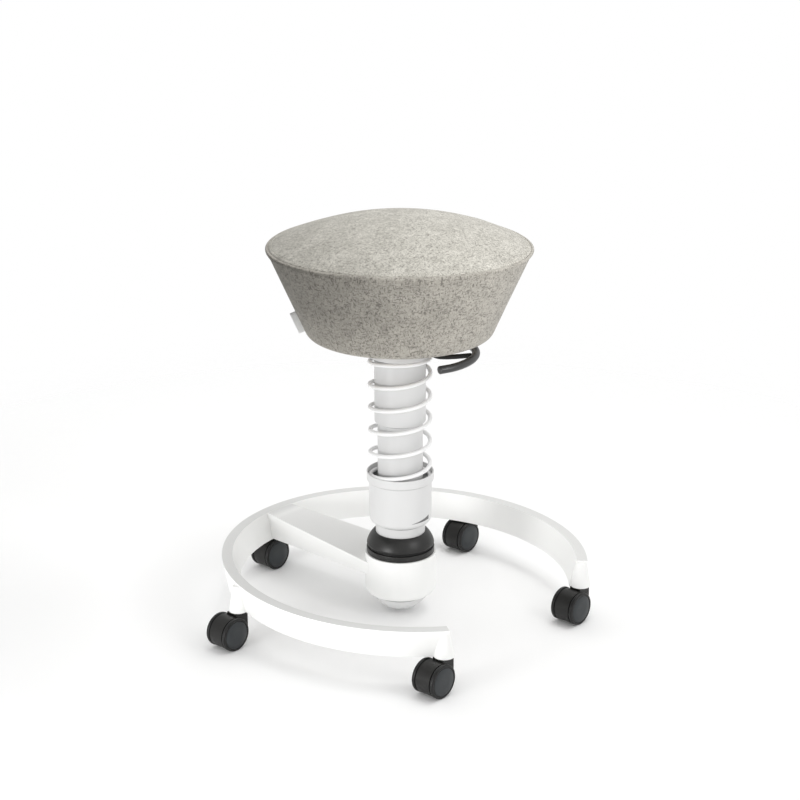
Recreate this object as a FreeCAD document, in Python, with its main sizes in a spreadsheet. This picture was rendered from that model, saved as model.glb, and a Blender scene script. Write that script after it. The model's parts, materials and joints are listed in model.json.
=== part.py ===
"""Active stool on five castors, in millimetres.

The seat stands on a telescopic column with a coil spring round it, a gas lift inside it and a rubber
joint at its foot. The foot is a C-shaped ring with one arm and a hub. The origin is on the column's
axis at the floor. +Z is up, +Y runs along the arm and the ring's opening faces -Y.
"""
import FreeCAD, Part
import Sketcher
import math
import os
from types import SimpleNamespace

doc = FreeCAD.newDocument("WobbleStool")
sheet = doc.addObject("Spreadsheet::Sheet", "Sizes")

# Driving sizes, written once each
DRIVING_SIZES = {
    # cushion
    "seat_radius": 195.0,
    "seat_edge_height": 579.4,
    "seat_top_height": 626.3,
    "seat_foot_radius": 137.5,
    "seat_foot_height": 449.0,
    "seat_edge_round": 7.0,
    "seat_foot_round": 13.0,
    "seat_crown_radius": 428.0,
    # seat board and bracket
    "board_radius": 112.0,
    "board_thickness": 10.0,
    "board_underside": 465.0,
    "bracket_length": 124.0,
    "bracket_width": 100.0,
    "bracket_sheet": 3.0,
    "box_length": 90.0,
    "box_width": 64.0,
    "box_drop": 24.0,
    "socket_radius": 19.0,
    "socket_drop": 8.0,
    "screw_radius": 3.0,
    "screw_head_radius": 5.5,
    "screw_head_height": 3.0,
    "screw_reach": 7.0,
    "screw_spacing_long": 104.0,
    "screw_spacing_wide": 78.0,
    # lever
    "lever_turn": -48.0,
    "lever_pivot_reach": 25.0,
    "lever_pivot_height": 452.0,
    "lever_shaft_radius": 4.0,
    "lever_shaft_half": 47.0,
    "lever_finger_width": 12.0,
    "lever_grip_radius": 6.0,
    "lever_grip_height": 425.0,
    "lever_grip_bend": 15.0,
    "lever_arc_radius": 121.8,
    "lever_bar_radius": 3.0,
    "lever_bar_bend": 9.0,
    # gas lift
    "gas_radius": 14.0,
    "gas_bore": 12.5,
    "gas_foot": 240.0,
    "gas_top": 446.0,
    "gas_gland": 16.0,
    "gas_plug": 10.0,
    "rod_radius": 5.0,
    "rod_foot": 190.0,
    "piston_height": 10.0,
    "piston_foot": 386.0,
    "rod_collar_radius": 9.0,
    "rod_collar_height": 3.0,
    "clip_radius": 10.0,
    "clip_height": 3.0,
    "bearing_radius": 12.0,
    "bearing_height": 6.0,
    "pin_radius": 4.0,
    "pin_foot": 438.0,
    "pin_top": 451.0,
    # strut that slides on the column
    "upper_tube_radius": 38.7,
    "upper_tube_wall": 3.8,
    "upper_tube_foot": 310.7,
    "upper_tube_top": 424.0,
    "retainer_radius": 47.9,
    "retainer_underside": 414.9,
    "retainer_top": 428.0,
    "guide_radius": 25.0,
    "guide_wall": 3.0,
    "guide_foot": 200.0,
    "guide_floor": 5.0,
    "gas_bush_height": 83.0,
    # coil spring
    "coil_radius": 45.5,
    "wire_radius": 3.2,
    "coil_pitch": 36.0,
    "coil_phase": 99.0,
    "coil_flat_turn": 285.0,
    # column
    "column_radius": 34.3,
    "column_wall": 3.0,
    "column_top": 365.0,
    "column_floor": 6.0,
    "neck_radius": 38.1,
    "neck_foot": 131.3,
    "neck_top": 147.5,
    "bush_height": 20.0,
    "lower_bush_foot": 225.0,
    # spring cup
    "cup_rim_radius": 51.1,
    "cup_rim_wall": 1.7,
    "cup_rim_foot": 216.1,
    "cup_top": 229.7,
    "cup_radius": 48.2,
    "cup_foot_radius": 47.4,
    "cup_floor": 6.0,
    "cup_foot": 147.8,
    "cup_foot_round": 9.0,
    "cup_wall": 1.6,
    "cup_ledge": 213.9,
    "cup_bore": 42.0,
    "spring_seat_height": 3.2,
    # rubber joint
    "dome_radius": 51.9,
    "dome_foot": 111.5,
    "dome_top": 132.8,
    "dome_wall": 6.0,
    "dome_bulge": 22.5,
    "shim_height": 3.0,
    "shim_radius": 50.3,
    "shim_bore": 38.0,
    "lip_radius": 52.2,
    "lip_top": 107.2,
    "lip_bore": 36.0,
    "core_radius": 19.5,
    "core_foot": 88.0,
    "core_flange_radius": 34.0,
    "core_flange_height": 6.0,
    "bush_foot": 80.0,
    "bush_top": 96.0,
    # hub
    "hub_top": 98.0,
    "hub_radius": 55.0,
    "hub_top_radius": 54.3,
    "hub_corner": 10.0,
    "hub_foot": 31.8,
    "hub_cavity_radius": 47.0,
    "hub_cavity_floor": 60.0,
    "hub_web": 12.0,
    "hub_skirt_radius": 41.0,
    # stiffness adjuster
    "knob_radius": 40.5,
    "knob_bend_radius": 38.0,
    "knob_bend_height": 21.0,
    "knob_foot_radius": 27.0,
    "knob_foot": 10.5,
    "knob_rib_count": 12,
    "knob_rib_width": 2.6,
    "screw_shaft_radius": 9.0,
    "screw_shaft_top": 80.0,
    "plate_radius": 44.0,
    "plate_foot": 68.0,
    "plate_height": 6.0,
    # foot ring
    "ring_top": 95.2,
    "ring_foot": 52.5,
    "ring_centre_back": 6.4,
    "ring_wide": 270.4,
    "ring_stretch": 19.7,
    "ring_wall_top": 16.1,
    "ring_wall_foot": 20.4,
    "ring_lean": 7.2,
    "ring_gap_half_angle": 35.0,
    "ring_end_round": 9.0,
    "boss_radius": 14.0,
    "boss_top_radius": 7.5,
    "end_boss_radius": 15.5,
    "end_boss_top_radius": 8.5,
    "boss_height": 40.0,
    "arm_hub_half": 50.0,
    "arm_ring_half": 27.0,
    "arm_hub_top": 85.0,
    "arm_hub_foot": 66.5,
    "arm_start": 18.0,
    "arm_sink": 0.4,
    # castors
    "castor_outset": 2.7,
    "castor_inset": 17.0,
    "castor_count": 5,
    "left_castor_shift": 5.0,
    "stem_radius": 5.5,
    "stem_height": 24.0,
    "stem_pivot_radius": 4.5,
    "stem_pivot_foot": 31.0,
    "wheel_radius": 25.5,
    "wheel_tread_radius": 22.6,
    "wheel_inner": 6.7,
    "wheel_step": 14.2,
    "wheel_face": 19.6,
    "wheel_plate_radius": 17.5,
    "wheel_plate_rise": 0.8,
    "wheel_round": 1.6,
    "castor_trail": 23.0,
    "axle_radius": 3.0,
    "axle_half": 16.6,
    "hood_radius": 24.7,
    "hood_wall": 1.6,
    "hood_half_width": 12.6,
    "hood_web_half": 6.2,
    "hood_lead": 10.0,
    "hood_neck_half": 9.4,
    "hood_neck_back": 14.0,
    "hood_lower_edge": 6.0,
    # clearances
    "running": 0.05,
    "seat_gap": 0.3,
    "slide_gap": 0.3,
    "top_gap": 0.4,
}


class Size:
    """A number that also knows its expression in the sheet, so that one sum sets both."""

    def __init__(self, number, text):
        self.number = float(number)
        self.text = text

    def _with(self, other, sign, reverse=False):
        other = other if isinstance(other, Size) else Size(other, repr(float(other)))
        a, b = (other, self) if reverse else (self, other)
        results = {
            "+": lambda: a.number + b.number,
            "-": lambda: a.number - b.number,
            "*": lambda: a.number * b.number,
            "/": lambda: a.number / b.number,
        }
        return Size(results[sign](), f"({a.text} {sign} {b.text})")

    def __add__(self, other):
        return self._with(other, "+")

    def __radd__(self, other):
        return self._with(other, "+", True)

    def __sub__(self, other):
        return self._with(other, "-")

    def __rsub__(self, other):
        return self._with(other, "-", True)

    def __mul__(self, other):
        return self._with(other, "*")

    def __rmul__(self, other):
        return self._with(other, "*", True)

    def __truediv__(self, other):
        return self._with(other, "/")

    def __rtruediv__(self, other):
        return self._with(other, "/", True)

    def __neg__(self):
        return 0 - self


def sine(angle):
    return Size(math.sin(math.radians(angle.number)), f"sin({angle.text} * 1 deg)")


def cosine(angle):
    return Size(math.cos(math.radians(angle.number)), f"cos({angle.text} * 1 deg)")


for row, (alias, number) in enumerate(DRIVING_SIZES.items(), start=1):
    sheet.set(f"A{row}", alias.replace("_", " "))
    sheet.set(f"B{row}", str(number))
    sheet.setAlias(f"B{row}", alias)
doc.recompute()
S = SimpleNamespace(**{name: Size(number, f"Sizes.{name}") for name, number in DRIVING_SIZES.items()})
ZERO = Size(0, "0")
RING_LONG = S.ring_wide + S.ring_stretch

NODES = []


def node(item, label):
    """Names a finished sub-part, which is written to a file of that name."""
    item.Label = label
    NODES.append(item)
    return item


def bind(item, **values):
    """Ties properties to the sheet. A double underscore in a name stands for a dot."""
    for name, value in values.items():
        path = name.replace("__", ".")
        if isinstance(value, Size):
            item.setExpression(path, value.text)
        else:
            item.setExpression(path, str(value))
    return item


def place(item, x=ZERO, y=ZERO, z=ZERO, axis=None, angle=None):
    """Sets a placement: an optional turn about an axis through the item's own origin, then a shift."""
    if axis is not None:
        turn = FreeCAD.Rotation(FreeCAD.Vector(*axis), angle.number)
        item.Placement = FreeCAD.Placement(FreeCAD.Vector(0, 0, 0), turn)
        item.setExpression("Placement.Rotation.Angle", angle.text)
    bind(item, Placement__Base__x=x, Placement__Base__y=y, Placement__Base__z=z)
    return item


def new_body(name):
    return doc.addObject("PartDesign::Body", name)


def new_sketch(body, name, role):
    sketch = body.newObject("Sketcher::SketchObject", name)
    base = next(item for item in body.Origin.OriginFeatures if item.Role == role)
    sketch.AttachmentSupport = [(base, "")]
    sketch.MapMode = "FlatFace"
    return sketch


def outline(sketch, corners):
    """Draws a closed outline. A corner is (x, y), or (x, y, radius) where an arc arrives at it.

    A positive radius runs anticlockwise from the corner before, and a negative one clockwise.
    """
    ends = []
    for index, corner in enumerate(corners):
        before = corners[index - 1]
        start = FreeCAD.Vector(before[0].number, before[1].number, 0)
        finish = FreeCAD.Vector(corner[0].number, corner[1].number, 0)
        if len(corner) == 2:
            piece = sketch.addGeometry(Part.LineSegment(start, finish), False)
            ends.append((piece, 1, 2))
            continue
        radius = abs(corner[2].number)
        side = 1 if corner[2].number > 0 else -1
        chord = finish - start
        left = FreeCAD.Vector(-chord.y, chord.x, 0).normalize()
        rise = math.sqrt(max(radius**2 - (chord.Length / 2) ** 2, 0))
        centre = (start + finish) * 0.5 + left * (rise * side)
        first, last = (start, finish) if side > 0 else (finish, start)
        angles = [math.atan2(p.y - centre.y, p.x - centre.x) for p in (first, last)]
        if angles[1] < angles[0]:
            angles[1] += 2 * math.pi
        circle = Part.Circle(centre, FreeCAD.Vector(0, 0, 1), radius)
        piece = sketch.addGeometry(Part.ArcOfCircle(circle, angles[0], angles[1]), False)
        ends.append((piece, 1, 2) if side > 0 else (piece, 2, 1))
        arc_size = corner[2] if side > 0 else -corner[2]
        number = sketch.addConstraint(Sketcher.Constraint("Radius", piece, radius))
        sketch.setExpression(f"Constraints[{number}]", arc_size.text)
    count = len(corners)
    for index in range(count):
        piece, _, finish_end = ends[index]
        following, start_end, _ = ends[(index + 1) % count]
        sketch.addConstraint(Sketcher.Constraint("Coincident", piece, finish_end, following, start_end))
    for index, corner in enumerate(corners):
        piece, _, end = ends[index]
        for kind, value, axis in (("DistanceX", corner[0], -2), ("DistanceY", corner[1], -1)):
            if value.text == "0":
                sketch.addConstraint(Sketcher.Constraint("PointOnObject", piece, end, axis))
                continue
            constraint = Sketcher.Constraint(kind, -1, 1, piece, end, value.number)
            number = sketch.addConstraint(constraint)
            sketch.setExpression(f"Constraints[{number}]", value.text)


def circle_at(sketch, radius, x=ZERO, y=ZERO):
    """Draws a circle whose centre and radius follow the sheet."""
    centre = FreeCAD.Vector(x.number, y.number, 0)
    piece = sketch.addGeometry(Part.Circle(centre, FreeCAD.Vector(0, 0, 1), radius.number), False)
    number = sketch.addConstraint(Sketcher.Constraint("Radius", piece, radius.number))
    sketch.setExpression(f"Constraints[{number}]", radius.text)
    for kind, value, axis in (("DistanceX", x, -2), ("DistanceY", y, -1)):
        if value.text == "0":
            sketch.addConstraint(Sketcher.Constraint("PointOnObject", piece, 3, axis))
            continue
        number = sketch.addConstraint(Sketcher.Constraint(kind, -1, 1, piece, 3, value.number))
        sketch.setExpression(f"Constraints[{number}]", value.text)


def turned(name, corners):
    """A piece turned about Z from its half section, given as (radius, height) corners."""
    body = new_body(name)
    sketch = new_sketch(body, name + "_section", "XZ_Plane")
    outline(sketch, corners)
    revolution = body.newObject("PartDesign::Revolution", name + "_turning")
    revolution.Profile = sketch
    revolution.ReferenceAxis = (sketch, ["V_Axis"])
    revolution.Angle = 360
    doc.recompute()
    return body


def tube(name, outer, inner, foot, top):
    return turned(name, [(inner, foot), (outer, foot), (outer, top), (inner, top)])


def round_rims(body, rims, radius, kind="PartDesign::Fillet"):
    """Rounds or bevels the circular edges that lie at the given radius and height."""
    base = body.Tip
    names = []
    for number, edge in enumerate(base.Shape.Edges, start=1):
        if edge.Degenerated or not isinstance(edge.Curve, Part.Circle):
            continue
        for rim_radius, rim_height in rims:
            close = abs(edge.Curve.Radius - rim_radius.number) < 0.02
            if close and abs(edge.BoundBox.ZMin - rim_height.number) < 0.02:
                if edge.BoundBox.ZLength < 0.02:
                    names.append(f"Edge{number}")
    feature = body.newObject(kind, body.Name + "_edges")
    feature.Base = (base, names)
    bind(feature, **{"Radius" if kind.endswith("Fillet") else "Size": radius})
    body.Tip = feature
    doc.recompute()
    return body


def cylinder(name, radius, height, x=ZERO, y=ZERO, z=ZERO):
    item = doc.addObject("Part::Cylinder", name)
    bind(item, Radius=radius, Height=height)
    return place(item, x, y, z)


def cone(name, foot_radius, top_radius, height, x=ZERO, y=ZERO, z=ZERO):
    item = doc.addObject("Part::Cone", name)
    bind(item, Radius1=foot_radius, Radius2=top_radius, Height=height)
    return place(item, x, y, z)


def block(name, low, high):
    """A box between two corners."""
    item = doc.addObject("Part::Box", name)
    bind(item, Length=high[0] - low[0], Width=high[1] - low[1], Height=high[2] - low[2])
    return place(item, *low)


def joined(name, items):
    item = doc.addObject("Part::MultiFuse", name)
    item.Shapes = items
    return item


def cut(name, base, tool):
    item = doc.addObject("Part::Cut", name)
    item.Base = base
    item.Tool = tool
    return item


def common(name, items):
    item = doc.addObject("Part::MultiCommon", name)
    item.Shapes = items
    return item


def seat_cushion():
    """The felt-covered cushion: a crowned top over sides that draw in towards the foot."""
    cavity = S.board_radius + S.seat_gap
    body = turned(
        "seat_cushion",
        [
            (ZERO, S.board_underside + S.board_thickness + S.seat_gap),
            (cavity, S.board_underside + S.board_thickness + S.seat_gap),
            (cavity, S.seat_foot_height),
            (S.seat_foot_radius, S.seat_foot_height),
            (S.seat_radius, S.seat_edge_height),
            (ZERO, S.seat_top_height, S.seat_crown_radius),
        ],
    )
    round_rims(body, [(S.seat_radius, S.seat_edge_height)], S.seat_edge_round)
    round_rims(body, [(S.seat_foot_radius, S.seat_foot_height)], S.seat_foot_round)
    node(body, "seat_cushion")


def seat_board():
    """The round board in the cushion's foot, with the holes for the bracket's screws."""
    top = S.board_underside + S.board_thickness
    disc = turned(
        "board_disc",
        [(ZERO, S.board_underside), (S.board_radius, S.board_underside), (S.board_radius, top), (ZERO, top)],
    )
    holes = joined("board_holes", screw_row("board_hole", S.screw_radius + S.running, S.board_thickness,
                                            S.board_underside))
    node(cut("seat_board", disc, holes), "seat_board")


def screw_row(name, radius, height, foot):
    """Four cylinders on the bracket's rectangle of screws, turned to the lever's direction."""
    rows = []
    for number, (side, end) in enumerate(((1, 1), (-1, 1), (-1, -1), (1, -1)), start=1):
        along = S.screw_spacing_long * (0.5 * end)
        across = S.screw_spacing_wide * (0.5 * side)
        x = along * cosine(S.lever_turn) - across * sine(S.lever_turn)
        y = along * sine(S.lever_turn) + across * cosine(S.lever_turn)
        rows.append(cylinder(f"{name}_{number}", radius, height, x, y, foot))
    return rows


def turned_to_lever(item):
    return place(item, axis=(0, 0, 1), angle=S.lever_turn)


def seat_bracket():
    """Pressed steel bracket: a flat plate, an open box under it and the socket for the gas lift."""
    plate_foot = S.board_underside - S.bracket_sheet
    box_foot = S.board_underside - S.bracket_sheet - S.box_drop
    plate = block(
        "bracket_plate",
        (S.bracket_length * -0.5, S.bracket_width * -0.5, plate_foot),
        (S.bracket_length * 0.5, S.bracket_width * 0.5, S.board_underside),
    )
    box = block(
        "bracket_box",
        (S.box_length * -0.5, S.box_width * -0.5, box_foot),
        (S.box_length * 0.5, S.box_width * 0.5, plate_foot),
    )
    inside = block(
        "bracket_inside",
        (S.box_length * -0.5 + S.bracket_sheet, S.box_width * -0.5 + S.bracket_sheet, box_foot + S.bracket_sheet),
        (S.box_length * 0.5 - S.bracket_sheet, S.box_width * 0.5 - S.bracket_sheet, plate_foot),
    )
    pan = joined("bracket_pan", [plate, cut("bracket_shell", box, inside)])
    turned_to_lever(pan)
    socket_foot = box_foot - S.socket_drop
    socket = cylinder("bracket_socket", S.socket_radius, S.socket_drop + S.bracket_sheet, z=socket_foot)
    bore = cylinder("bracket_bore", S.gas_radius + S.running, S.socket_drop + S.bracket_sheet, z=socket_foot)
    shaft_hole = cylinder("bracket_shaft_hole", S.lever_shaft_radius + S.running, S.box_width)
    lie_on_shaft_line(shaft_hole, S.box_width * 0.5)
    holes = screw_row("bracket_hole", S.screw_radius + S.running, S.bracket_sheet, plate_foot)
    solid = joined("bracket_solid", [pan, socket])
    node(cut("seat_bracket", solid, joined("bracket_holes", [bore, shaft_hole] + holes)), "seat_bracket")


def lie_on_shaft_line(item, half):
    """Lays an upright cylinder along the lever's shaft line, half of it each side of the lever's plane."""
    item.Placement = FreeCAD.Placement(
        FreeCAD.Vector(0, 0, 0),
        FreeCAD.Rotation(FreeCAD.Vector(0, 0, 1), S.lever_turn.number)
        * FreeCAD.Rotation(FreeCAD.Vector(1, 0, 0), 90),
    )
    reach = S.lever_pivot_reach
    bind(
        item,
        Placement__Base__x=reach * cosine(S.lever_turn) - half * sine(S.lever_turn),
        Placement__Base__y=reach * sine(S.lever_turn) + half * cosine(S.lever_turn),
        Placement__Base__z=S.lever_pivot_height,
    )


def bracket_screws():
    """Four pan-head screws through the bracket's plate into the board."""
    plate_foot = S.board_underside - S.bracket_sheet
    shanks = screw_row("screw_shank", S.screw_radius, S.bracket_sheet + S.screw_reach, plate_foot)
    heads = screw_row("screw_head", S.screw_head_radius, S.screw_head_height, plate_foot - S.screw_head_height)
    node(joined("bracket_screws", shanks + heads), "bracket_screws")


def bent_rod(name, radius, points, bend):
    """A round rod along straight runs that are joined by tangent arcs."""
    vectors = [FreeCAD.Vector(*point) for point in points]
    edges = []
    start = vectors[0]
    for before, corner, after in zip(vectors, vectors[1:], vectors[2:]):
        back = (before - corner).normalize()
        forth = (after - corner).normalize()
        half_turn = (math.pi - back.getAngle(forth)) / 2
        setback = bend * math.tan(half_turn)
        first = corner + back * setback
        last = corner + forth * setback
        inward = (back + forth).normalize()
        middle = corner + inward * (bend / math.cos(half_turn) - bend)
        if (first - start).Length > 1e-6:
            edges.append(Part.LineSegment(start, first).toShape())
        edges.append(Part.Arc(first, middle, last).toShape())
        start = last
    edges.append(Part.LineSegment(start, vectors[-1]).toShape())
    path = Part.Wire(edges)
    section = Part.Wire(Part.Circle(vectors[0], vectors[1] - vectors[0], radius).toShape())
    shell = Part.BRepOffsetAPI.MakePipeShell(path)
    shell.add(section)
    shell.build()
    shell.makeSolid()
    solid = Part.Solid(shell.shape()) if shell.shape().ShapeType != "Solid" else shell.shape()
    item = doc.addObject("Part::Feature", name)
    item.Shape = solid
    return turned_to_lever(item)


def lever():
    """Shaft with a finger over the gas lift's pin, a thin brace bar and the thick bent grip."""
    reach = S.lever_pivot_reach.number
    height = S.lever_pivot_height.number
    half = S.lever_shaft_half.number
    low = S.lever_grip_height.number
    drop = height - low

    def on_arc(share, angle):
        """A point at grip height, at a share of the arc's radius and an angle from the lever's plane."""
        radius = S.lever_arc_radius.number * share
        return (radius * math.cos(math.radians(angle)), radius * math.sin(math.radians(angle)), low)

    shaft = cylinder("shaft_rod", S.lever_shaft_radius, S.lever_shaft_half * 2)
    place(shaft, S.lever_pivot_reach, S.lever_shaft_half, S.lever_pivot_height, axis=(1, 0, 0), angle=Size(90, "90"))
    finger_foot = S.pin_top + S.seat_gap
    finger = block(
        "shaft_finger",
        (-S.pin_radius, S.lever_finger_width * -0.5, finger_foot),
        (S.lever_pivot_reach, S.lever_finger_width * 0.5, S.lever_pivot_height + S.lever_shaft_radius * 0.7),
    )
    node(turned_to_lever(joined("lever_shaft", [shaft, finger])), "lever_shaft")
    rod = S.lever_shaft_radius.number
    bar = S.lever_bar_radius.number
    bar_side = -(half - bar - 1)
    bar_solid = bent_rod(
        "bar_rod",
        bar,
        [
            (reach + rod + 0.1, bar_side, height - 2),
            (reach + drop * 0.52, bar_side, height - drop * 0.3),
            (reach + drop * 1.04, bar_side, low),
            on_arc(0.898, -19.33),
        ],
        S.lever_bar_bend.number,
    )
    node(bar_solid, "lever_bar")
    grip = S.lever_grip_radius.number
    grip_side = half - grip
    grip_solid = bent_rod(
        "grip_rod",
        grip,
        [
            (reach + rod + 0.1, grip_side, height - 2),
            (reach + drop * 0.89, grip_side, height - drop * 0.37),
            (reach + drop * 1.63, grip_side, low),
            on_arc(0.872, 14.2),
            on_arc(0.964, -15.8),
            on_arc(1.0, -38.0),
            on_arc(1.006, -62.8),
        ],
        S.lever_grip_bend.number,
    )
    node(grip_solid, "lever_grip")


def gas_lift():
    """Gas cylinder with its release pin, and the rod with piston, clip and bearing that it slides on."""
    bore = S.rod_radius + S.running
    cavity_foot = S.gas_foot + S.gas_gland
    cavity_top = S.gas_top - S.gas_plug
    body = turned(
        "gas_cylinder",
        [
            (bore, S.gas_foot),
            (S.gas_radius, S.gas_foot),
            (S.gas_radius, S.gas_top),
            (S.pin_radius + S.running, S.gas_top),
            (S.pin_radius + S.running, cavity_top),
            (S.gas_bore, cavity_top),
            (S.gas_bore, cavity_foot),
            (bore, cavity_foot),
        ],
    )
    node(body, "gas_cylinder")
    pin = cylinder("release_pin", S.pin_radius, S.pin_top - S.pin_foot, z=S.pin_foot)
    node(pin, "release_pin")
    collar_foot = S.guide_foot + S.guide_floor + S.bearing_height + S.seat_gap * 2
    piston_radius = S.gas_bore - S.running
    piston_top = S.piston_foot + S.piston_height
    body = turned(
        "piston_rod",
        [
            (ZERO, S.rod_foot),
            (S.rod_radius, S.rod_foot),
            (S.rod_radius, collar_foot),
            (S.rod_collar_radius, collar_foot),
            (S.rod_collar_radius, collar_foot + S.rod_collar_height),
            (S.rod_radius, collar_foot + S.rod_collar_height),
            (S.rod_radius, S.piston_foot),
            (piston_radius, S.piston_foot),
            (piston_radius, piston_top),
            (ZERO, piston_top),
        ],
    )
    node(body, "piston_rod")
    clip_top = S.guide_foot - S.seat_gap
    node(tube("rod_clip", S.clip_radius, bore, clip_top - S.clip_height, clip_top), "rod_clip")
    bearing_foot = S.guide_foot + S.guide_floor + S.seat_gap
    bearing = tube("thrust_bearing", S.bearing_radius, bore, bearing_foot, bearing_foot + S.bearing_height)
    node(bearing, "thrust_bearing")


def strut():
    """The tubes that slide down over the column: outer tube, spring retainer, guide tube and bush."""
    inner = S.upper_tube_radius - S.upper_tube_wall
    body = tube("upper_tube", S.upper_tube_radius, inner, S.upper_tube_foot, S.upper_tube_top)
    round_rims(body, [(S.upper_tube_radius, S.upper_tube_foot)], S.upper_tube_wall * 0.25)
    node(body, "upper_tube")
    hole = S.guide_radius + S.running
    skirt = S.upper_tube_radius + S.running
    body = turned(
        "spring_retainer",
        [
            (hole, S.upper_tube_top + S.running),
            (skirt, S.upper_tube_top + S.running),
            (skirt, S.retainer_underside),
            (S.retainer_radius, S.retainer_underside),
            (S.retainer_radius, S.retainer_top),
            (hole, S.retainer_top),
        ],
    )
    round_rims(body, [(S.retainer_radius, S.retainer_top), (S.retainer_radius, S.retainer_underside)],
               S.slide_gap * 4)
    node(body, "spring_retainer")
    bore = S.guide_radius - S.guide_wall
    floor_top = S.guide_foot + S.guide_floor
    body = turned(
        "guide_tube",
        [
            (S.rod_radius + S.slide_gap, S.guide_foot),
            (S.guide_radius, S.guide_foot),
            (S.guide_radius, S.retainer_top),
            (bore, S.retainer_top),
            (bore, floor_top),
            (S.rod_radius + S.slide_gap, floor_top),
        ],
    )
    node(body, "guide_tube")
    bush_foot = S.retainer_top - S.gas_bush_height
    bush = tube("gas_bush", bore - S.running, S.gas_radius + S.running, bush_foot, S.retainer_top)
    node(bush, "gas_bush")


def column():
    """The fixed lower tube with its neck, and the two bushes that the guide tube runs in."""
    inner = S.column_radius - S.column_wall
    body = turned(
        "column_tube",
        [
            (ZERO, S.neck_foot),
            (S.neck_radius, S.neck_foot),
            (S.neck_radius, S.neck_top),
            (S.column_radius, S.neck_top),
            (S.column_radius, S.column_top),
            (inner, S.column_top),
            (inner, S.neck_foot + S.column_floor),
            (ZERO, S.neck_foot + S.column_floor),
        ],
    )
    node(body, "column_tube")
    outer = inner - S.running
    bore = S.guide_radius + S.running
    upper_foot = S.column_top - S.bush_height
    node(tube("upper_bush", outer, bore, upper_foot, S.column_top), "upper_bush")
    lower_top = S.lower_bush_foot + S.bush_height
    node(tube("lower_bush", outer, bore, S.lower_bush_foot, lower_top), "lower_bush")


def spring_cup():
    """The cup that is turned to set the spring, and the ring in it that carries the spring's foot."""
    rim_bore = S.cup_rim_radius - S.cup_rim_wall
    rim_floor = S.cup_rim_foot + S.cup_wall
    body_bore = S.cup_radius - S.cup_wall
    floor_top = S.cup_foot + S.cup_floor
    floor_bore = S.column_radius + S.slide_gap
    body = turned(
        "spring_cup",
        [
            (floor_bore, S.cup_foot),
            (S.cup_foot_radius, S.cup_foot),
            (S.cup_radius, S.cup_rim_foot),
            (S.cup_rim_radius - S.cup_rim_wall, S.cup_rim_foot),
            (S.cup_rim_radius, S.cup_rim_foot + S.cup_rim_wall, S.cup_rim_wall),
            (S.cup_rim_radius, S.cup_top),
            (rim_bore, S.cup_top),
            (rim_bore, rim_floor),
            (body_bore, rim_floor),
            (body_bore, S.cup_ledge),
            (S.cup_bore, S.cup_ledge),
            (S.cup_bore, floor_top),
            (floor_bore, floor_top),
        ],
    )
    round_rims(body, [(S.cup_foot_radius, S.cup_foot)], S.cup_foot_round)
    node(body, "spring_cup")
    ring_foot = S.cup_ledge + S.seat_gap
    ring = tube(
        "spring_seat",
        body_bore - S.slide_gap,
        S.cup_bore + S.slide_gap,
        ring_foot,
        ring_foot + S.spring_seat_height,
    )
    node(ring, "spring_seat")


def spring_height(turn, foot, top, first_turn):
    """Height of the wire's centre at a turn in degrees: flat ends and an even pitch between them."""
    slope = S.coil_pitch.number / 360
    ease = 25.0
    last_turn = first_turn + (top - foot) / slope

    def ramp(value):
        if value < -ease:
            return 0.0
        return value if value > ease else (value + ease) ** 2 / (4 * ease)

    return foot + slope * (ramp(turn - first_turn) - ramp(turn - last_turn))


def biarc(start, start_way, finish, finish_way):
    """Two arcs that leave one point and reach another along the given directions."""
    gap = finish - start
    ways = start_way + finish_way
    spread = 2 * (1 - start_way.dot(finish_way))
    reach = gap.dot(ways)
    distance = (-reach + math.sqrt(reach**2 + spread * gap.dot(gap))) / spread
    joint = (start + finish + (start_way - finish_way) * distance) * 0.5
    edges = []
    for first, way, last, sign in ((start, start_way, joint, 1), (finish, finish_way, joint, -1)):
        chord = last - first
        along = FreeCAD.Vector(chord).normalize()
        heading = way * sign
        angle = heading.getAngle(along)
        side = heading - along * heading.dot(along)
        side.normalize()
        middle = first + chord * 0.5 + side * (chord.Length / 2 * math.tan(angle / 2))
        points = (first, middle, last) if sign > 0 else (last, middle, first)
        edges.append(Part.Arc(*points).toShape())
    return edges


def coil_spring():
    """One unbroken coil from the ring in the cup to the retainer, with closed end turns."""
    radius = S.coil_radius.number
    wire = S.wire_radius.number
    seat_top = S.cup_ledge.number + S.seat_gap.number + S.spring_seat_height.number
    foot = seat_top + S.seat_gap.number + wire
    top = S.retainer_underside.number - S.seat_gap.number - wire
    first_turn = S.coil_phase.number
    rise_turns = (top - foot) / S.coil_pitch.number * 360
    begin = first_turn - S.coil_flat_turn.number
    end = first_turn + rise_turns + S.coil_flat_turn.number
    quarters = math.ceil((end - begin) / 90)
    step = (end - begin) / quarters

    def point(turn):
        angle = math.radians(turn)
        height = spring_height(turn, foot, top, first_turn)
        return FreeCAD.Vector(radius * math.cos(angle), radius * math.sin(angle), height)

    def heading(turn):
        return (point(turn + 0.01) - point(turn - 0.01)).normalize()

    edges = []
    for number in range(quarters):
        turn = begin + number * step
        edges += biarc(point(turn), heading(turn), point(turn + step), heading(turn + step))
    section = Part.Wire(Part.Circle(point(begin), heading(begin), wire).toShape())
    shell = Part.BRepOffsetAPI.MakePipeShell(Part.Wire(edges))
    shell.add(section)
    shell.build()
    shell.makeSolid()
    samples = [point(begin + index * 3) for index in range(int((end - begin) / 3) + 1)]
    gaps = [
        (samples[a] - samples[b]).Length - 2 * wire
        for a in range(len(samples))
        for b in range(a + 60, min(a + 240, len(samples)))
    ]
    print("coil spring: turns", round((end - begin) / 360, 2), "least gap to itself", round(min(gaps), 2))
    item = doc.addObject("Part::Feature", "coil_spring")
    item.Shape = shell.shape()
    node(item, "coil_spring")


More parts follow.
